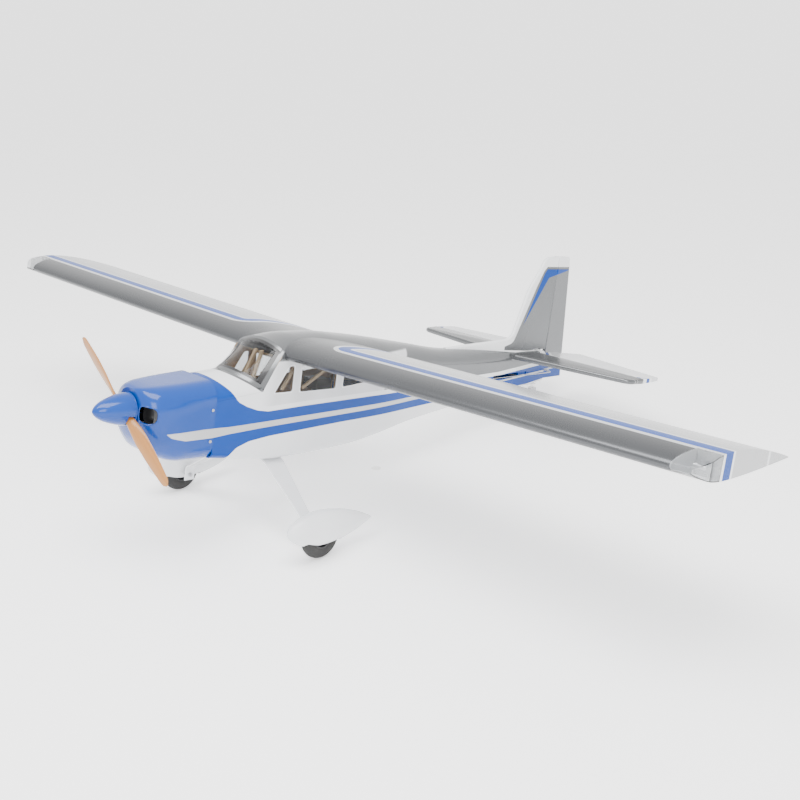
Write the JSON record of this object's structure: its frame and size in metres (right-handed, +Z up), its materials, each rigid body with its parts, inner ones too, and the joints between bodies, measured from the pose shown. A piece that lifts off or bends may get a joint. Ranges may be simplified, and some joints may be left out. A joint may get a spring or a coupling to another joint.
{
  "type": "radio-controlled high-wing model aeroplane",
  "caption": "High-wing sport model aeroplane with a cabin, flaps, wheel pants and a steerable tail wheel, standing on its wheels.",
  "frame": {"origin": "centre of the bounding box, on the ground under the aeroplane", "axes": "+X to the aeroplane's left wing tip, +Y aft along its centreline, +Z up from the ground"},
  "size_m": [1.7522, 1.347, 0.3897],
  "materials": {
    "covering": "gloss",
    "plywood": "matte",
    "blue_shell": "gloss",
    "white_shell": "gloss",
    "white_metal": "gloss",
    "clear": "gloss",
    "propeller_wood": "satin",
    "black_plastic": "matte",
    "battery_wrap": "gloss",
    "motor_metal": "satin",
    "bare_metal": "satin",
    "steel": "satin",
    "white_plastic": "satin",
    "tyre": "matte"
  },
  "bodies": {
    "airframe": {"fuselage_shell": "covering", "firewall": "plywood", "cabin_formers": "plywood", "equipment_tray": "plywood", "side_windows": "clear", "cowl": "blue_shell", "motor_mount": "motor_metal", "motor_stator": "motor_metal", "speed_controller": "black_plastic", "battery": "battery_wrap", "landing_gear": "white_metal", "wheel_axles": "steel", "left_wheel_pant": "white_shell", "right_wheel_pant": "white_shell", "wing_tube": "bare_metal", "left_wing_skin": "covering", "right_wing_skin": "covering", "wing_frames": "plywood", "tip_lenses": "clear", "tip_lamps": "bare_metal", "servos": "black_plastic", "left_stabilizer": "covering", "right_stabilizer": "covering", "stabilizer_tube": "bare_metal", "fin": "covering", "tailwheel_bracket": "steel", "screws": "steel"},
    "hatch": {"hatch": "covering", "windshield": "clear"},
    "propeller": {"motor_rotor": "motor_metal", "propeller": "propeller_wood", "spinner_cone": "blue_shell", "spinner_backplate": "bare_metal", "prop_nut": "bare_metal"},
    "left_wheel": {"left_wheel_hub": "white_plastic", "left_tyre": "tyre"},
    "right_wheel": {"right_wheel_hub": "white_plastic", "right_tyre": "tyre"},
    "left_aileron": {"left_aileron": "covering"},
    "left_aileron_servo_arm": {"left_aileron_servo_arm": "black_plastic"},
    "left_aileron_pushrod": {"left_aileron_pushrod": "steel"},
    "right_aileron": {"right_aileron": "covering"},
    "right_aileron_servo_arm": {"right_aileron_servo_arm": "black_plastic"},
    "right_aileron_pushrod": {"right_aileron_pushrod": "steel"},
    "left_flap": {"left_flap": "covering"},
    "left_flap_servo_arm": {"left_flap_servo_arm": "black_plastic"},
    "left_flap_pushrod": {"left_flap_pushrod": "steel"},
    "right_flap": {"right_flap": "covering"},
    "right_flap_servo_arm": {"right_flap_servo_arm": "black_plastic"},
    "right_flap_pushrod": {"right_flap_pushrod": "steel"},
    "elevator": {"left_elevator": "covering", "right_elevator": "covering", "elevator_joiner": "steel"},
    "elevator_servo_arm": {"elevator_servo_arm": "black_plastic"},
    "elevator_pushrod": {"elevator_pushrod": "steel"},
    "rudder": {"rudder": "covering"},
    "rudder_servo_arm": {"rudder_servo_arm": "black_plastic"},
    "rudder_pushrod": {"rudder_pushrod": "steel"},
    "tailwheel_fork": {"tailwheel_fork": "steel"},
    "tailwheel": {"tailwheel": "tyre"}
  },
  "joints": [
    {"name": "propeller_spin", "type": "hinge", "parent": "airframe", "child": "propeller", "pos_m": [0, -0.61628, 0.29159], "axis": [0, 0.9867, -0.1627], "continuous": true},
    {"name": "left_wheel_spin", "type": "hinge", "parent": "airframe", "child": "left_wheel", "pos_m": [0.206, -0.35962, 0.041], "axis": [1, 0, 0], "continuous": true},
    {"name": "right_wheel_spin", "type": "hinge", "parent": "airframe", "child": "right_wheel", "pos_m": [-0.206, -0.35962, 0.041], "axis": [1, 0, 0], "continuous": true},
    {"name": "hatch_lift", "type": "slide", "parent": "airframe", "child": "hatch", "axis": [0, 0.1627, 0.9867], "range_m": [0, 0.06]},
    {"name": "left_aileron_hinge", "type": "hinge", "parent": "airframe", "child": "left_aileron", "pos_m": [0.62851, -0.10883, 0.31045], "axis": [0.9998, 0.0035, 0.0215], "range_deg": [-22, 22]},
    {"name": "left_aileron_servo_arm_turn", "type": "hinge", "parent": "airframe", "child": "left_aileron_servo_arm", "pos_m": [0.62844, -0.1872, 0.3265], "axis": [0.9998, 0.0035, 0.0215], "range_deg": [-22, 22]},
    {"name": "left_aileron_pushrod_pin", "type": "hinge", "parent": "left_aileron", "child": "left_aileron_pushrod", "pos_m": [0.6291, -0.11097, 0.28337], "axis": [0.9998, 0.0035, 0.0215], "range_deg": [-22, 22]},
    {"name": "right_aileron_hinge", "type": "hinge", "parent": "airframe", "child": "right_aileron", "pos_m": [-0.62851, -0.10883, 0.31045], "axis": [0.9998, -0.0035, -0.0215], "range_deg": [-22, 22]},
    {"name": "right_aileron_servo_arm_turn", "type": "hinge", "parent": "airframe", "child": "right_aileron_servo_arm", "pos_m": [-0.62844, -0.1872, 0.3265], "axis": [0.9998, -0.0035, -0.0215], "range_deg": [-22, 22]},
    {"name": "right_aileron_pushrod_pin", "type": "hinge", "parent": "right_aileron", "child": "right_aileron_pushrod", "pos_m": [-0.6291, -0.11097, 0.28337], "axis": [0.9998, -0.0035, -0.0215], "range_deg": [-22, 22]},
    {"name": "left_flap_hinge", "type": "hinge", "parent": "airframe", "child": "left_flap", "pos_m": [0.30511, -0.10997, 0.30348], "axis": [-0.9998, -0.0035, -0.0215], "range_deg": [0, 35]},
    {"name": "left_flap_servo_arm_turn", "type": "hinge", "parent": "airframe", "child": "left_flap_servo_arm", "pos_m": [0.30504, -0.18835, 0.31954], "axis": [-0.9998, -0.0035, -0.0215], "range_deg": [0, 35]},
    {"name": "left_flap_pushrod_pin", "type": "hinge", "parent": "left_flap", "child": "left_flap_pushrod", "pos_m": [0.3057, -0.11211, 0.27641], "axis": [-0.9998, -0.0035, -0.0215], "range_deg": [-35, 0]},
    {"name": "right_flap_hinge", "type": "hinge", "parent": "airframe", "child": "right_flap", "pos_m": [-0.30511, -0.10997, 0.30348], "axis": [-0.9998, 0.0035, 0.0215], "range_deg": [0, 35]},
    {"name": "right_flap_servo_arm_turn", "type": "hinge", "parent": "airframe", "child": "right_flap_servo_arm", "pos_m": [-0.30504, -0.18835, 0.31954], "axis": [-0.9998, 0.0035, 0.0215], "range_deg": [0, 35]},
    {"name": "right_flap_pushrod_pin", "type": "hinge", "parent": "right_flap", "child": "right_flap_pushrod", "pos_m": [-0.3057, -0.11211, 0.27641], "axis": [-0.9998, 0.0035, 0.0215], "range_deg": [-35, 0]},
    {"name": "elevator_hinge", "type": "hinge", "parent": "airframe", "child": "elevator", "pos_m": [0, 0.54235, 0.13908], "axis": [1, 0, 0], "range_deg": [-22, 22]},
    {"name": "elevator_servo_arm_turn", "type": "hinge", "parent": "airframe", "child": "elevator_servo_arm", "pos_m": [-0.032, -0.15256, 0.2273], "axis": [1, 0, 0], "range_deg": [-22, 22]},
    {"name": "elevator_pushrod_pin", "type": "hinge", "parent": "elevator", "child": "elevator_pushrod", "pos_m": [-0.032, 0.54076, 0.10488], "axis": [1, 0, 0], "range_deg": [-22, 22]},
    {"name": "rudder_hinge", "type": "hinge", "parent": "airframe", "child": "rudder", "pos_m": [0, 0.58155, 0.0941], "axis": [0, 0.1627, 0.9867], "range_deg": [-28, 28]},
    {"name": "rudder_servo_arm_turn", "type": "hinge", "parent": "airframe", "child": "rudder_servo_arm", "pos_m": [0, -0.1693, 0.21182], "axis": [0, 0.1627, 0.9867], "range_deg": [-28, 28]},
    {"name": "rudder_pushrod_pin", "type": "hinge", "parent": "rudder", "child": "rudder_pushrod", "pos_m": [0.025, 0.58452, 0.08753], "axis": [0, 0.1627, 0.9867], "range_deg": [-28, 28]},
    {"name": "tailwheel_steer", "type": "hinge", "parent": "airframe", "child": "tailwheel_fork", "pos_m": [0, 0.55224, 0.06384], "axis": [0, 0.1627, 0.9867], "range_deg": [-28, 28]},
    {"name": "tailwheel_spin", "type": "hinge", "parent": "tailwheel_fork", "child": "tailwheel", "pos_m": [0, 0.5572, 0.014], "axis": [1, 0, 0], "continuous": true}
  ],
  "couplings": [
    {"joint": "left_aileron_servo_arm_turn", "follows": "left_aileron_hinge", "ratio": 1},
    {"joint": "left_aileron_pushrod_pin", "follows": "left_aileron_hinge", "ratio": -1},
    {"joint": "right_aileron_hinge", "follows": "left_aileron_hinge", "ratio": -1},
    {"joint": "right_aileron_servo_arm_turn", "follows": "left_aileron_hinge", "ratio": -1},
    {"joint": "right_aileron_pushrod_pin", "follows": "left_aileron_hinge", "ratio": 1},
    {"joint": "left_flap_servo_arm_turn", "follows": "left_flap_hinge", "ratio": 1},
    {"joint": "left_flap_pushrod_pin", "follows": "left_flap_hinge", "ratio": -1},
    {"joint": "right_flap_hinge", "follows": "left_flap_hinge", "ratio": 1},
    {"joint": "right_flap_servo_arm_turn", "follows": "left_flap_hinge", "ratio": 1},
    {"joint": "right_flap_pushrod_pin", "follows": "left_flap_hinge", "ratio": -1},
    {"joint": "elevator_servo_arm_turn", "follows": "elevator_hinge", "ratio": 1},
    {"joint": "elevator_pushrod_pin", "follows": "elevator_hinge", "ratio": -1},
    {"joint": "rudder_servo_arm_turn", "follows": "rudder_hinge", "ratio": 1},
    {"joint": "rudder_pushrod_pin", "follows": "rudder_hinge", "ratio": -1},
    {"joint": "tailwheel_steer", "follows": "rudder_hinge", "ratio": 1}
  ]
}
